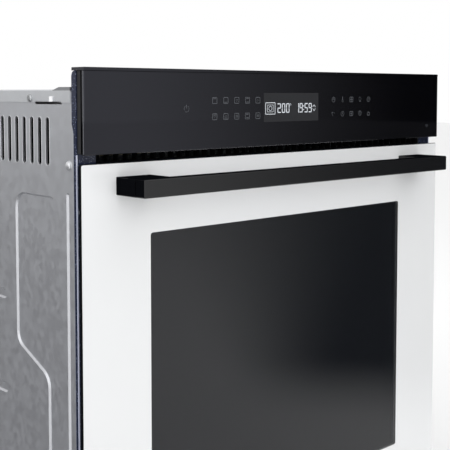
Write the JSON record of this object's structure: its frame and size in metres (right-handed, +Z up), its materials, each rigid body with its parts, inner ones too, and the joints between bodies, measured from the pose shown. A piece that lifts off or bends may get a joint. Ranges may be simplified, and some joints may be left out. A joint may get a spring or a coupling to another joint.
{
  "type": "wall oven",
  "caption": "Built-in electric oven with a drop-down glass door, bar handle, touch control panel, enamelled cavity, shelf, tray and galvanised casing.",
  "frame": {"origin": "bottom centre of the whole oven, handle and terminal box included", "axes": "+X to the right seen from the front, +Y from the door to the back, +Z up"},
  "size_m": [0.595, 0.6138, 0.595],
  "materials": {
    "navy_enamel": "gloss enamel",
    "grey_rubber": "matte",
    "galvanised": "galvanised",
    "zinc_steel": "zinc plated",
    "black_plastic": "fine texture",
    "black_glass": "polished, back printed",
    "black_trim": "satin",
    "circuit_board": "solder resist",
    "bare_aluminium": "mill",
    "motor_steel": "plain",
    "cavity_enamel": "gloss enamel",
    "glass_wool": "fibrous",
    "black_rubber": "matte",
    "chrome_wire": "polished",
    "heater_steel": "oxidised",
    "clear_glass": "polished",
    "door_glass": "polished, back printed border and tinted window",
    "anodised_aluminium": "black anodised, satin",
    "spring_steel": "oiled"
  },
  "bodies": {
    "chassis": {"front_frame": "navy_enamel", "door_bumpers": "grey_rubber", "top_cover": "galvanised", "top_brackets": "galvanised", "base_pan": "galvanised", "rear_panel": "galvanised", "side_panel_left": "galvanised", "side_panel_right": "galvanised", "casing_screws": "zinc_steel", "terminal_box": "black_plastic", "cord_inlet": "black_plastic", "control_glass": "black_glass", "panel_top_trim": "black_trim", "control_housing": "black_plastic", "display_module": "black_plastic", "control_board": "circuit_board", "power_board": "circuit_board", "air_outlet_grille": "black_plastic", "air_duct": "galvanised", "blower_housing": "galvanised", "blower_motor": "motor_steel", "cavity_liner": "cavity_enamel", "insulation": "glass_wool", "door_gasket": "black_rubber", "grill_element": "heater_steel", "bottom_element": "heater_steel", "ring_element": "heater_steel", "fan_cover": "cavity_enamel", "convection_motor": "motor_steel", "lamp_housing": "galvanised", "lamp_bulb": "clear_glass", "lamp_lens": "clear_glass", "temperature_sensor": "heater_steel", "side_rack_left": "chrome_wire", "side_rack_right": "chrome_wire", "hinge_arm_left": "zinc_steel", "hinge_arm_right": "zinc_steel", "hinge_receiver_left": "galvanised", "hinge_receiver_right": "galvanised"},
    "door": {"door_outer_glass": "door_glass", "door_middle_glass": "clear_glass", "door_inner_glass": "clear_glass", "door_top_cap": "black_plastic", "door_bottom_cap": "black_plastic", "handle_bar": "anodised_aluminium", "handle_screws": "zinc_steel", "door_stile_left": "galvanised", "door_stile_right": "galvanised", "handle_post_left": "anodised_aluminium", "handle_post_right": "anodised_aluminium", "hinge_channel_left": "galvanised", "hinge_channel_right": "galvanised", "hinge_spring_left": "spring_steel", "hinge_spring_right": "spring_steel"},
    "wire_shelf": {"wire_shelf": "chrome_wire"},
    "baking_tray": {"baking_tray": "cavity_enamel"},
    "convection_fan": {"convection_fan": "heater_steel"},
    "cooling_fan": {"cooling_fan": "bare_aluminium"},
    "hinge_rod_left": {"hinge_rod_left": "zinc_steel"},
    "hinge_rod_right": {"hinge_rod_right": "zinc_steel"}
  },
  "joints": [
    {"name": "door_hinge", "type": "hinge", "parent": "chassis", "child": "door", "pos_m": [0, -0.2461, 0.022], "axis": [1, 0, 0], "range_deg": [0, 90], "stiffness_Nm_per_rad": 13, "springref_deg": -12.61},
    {"name": "wire_shelf_slide", "type": "slide", "parent": "chassis", "child": "wire_shelf", "axis": [0, -1, 0], "range_m": [0, 0.3]},
    {"name": "baking_tray_slide", "type": "slide", "parent": "chassis", "child": "baking_tray", "axis": [0, -1, 0], "range_m": [0, 0.24]},
    {"name": "convection_fan_spin", "type": "hinge", "parent": "chassis", "child": "convection_fan", "pos_m": [0, 0.2099, 0.258], "axis": [0, 1, 0], "continuous": true},
    {"name": "cooling_fan_spin", "type": "hinge", "parent": "chassis", "child": "cooling_fan", "pos_m": [0, 0.0999, 0.516], "axis": [1, 0, 0], "continuous": true},
    {"name": "hinge_rod_left_slide", "type": "slide", "parent": "door", "child": "hinge_rod_left", "axis": [0, 0, 1], "range_m": [-0.0199, 0], "deforming": ["hinge_spring_left"]},
    {"name": "hinge_rod_right_slide", "type": "slide", "parent": "door", "child": "hinge_rod_right", "axis": [0, 0, 1], "range_m": [-0.0199, 0], "deforming": ["hinge_spring_right"]}
  ],
  "couplings": [
    {"joint": "wire_shelf_slide", "follows": "door_hinge", "m_per_rad": 0.19},
    {"joint": "baking_tray_slide", "follows": "door_hinge", "m_per_rad": 0.15},
    {"joint": "hinge_rod_left_slide", "follows": "door_hinge", "m_per_rad": -0.012604},
    {"joint": "hinge_rod_right_slide", "follows": "door_hinge", "m_per_rad": -0.012604}
  ]
}
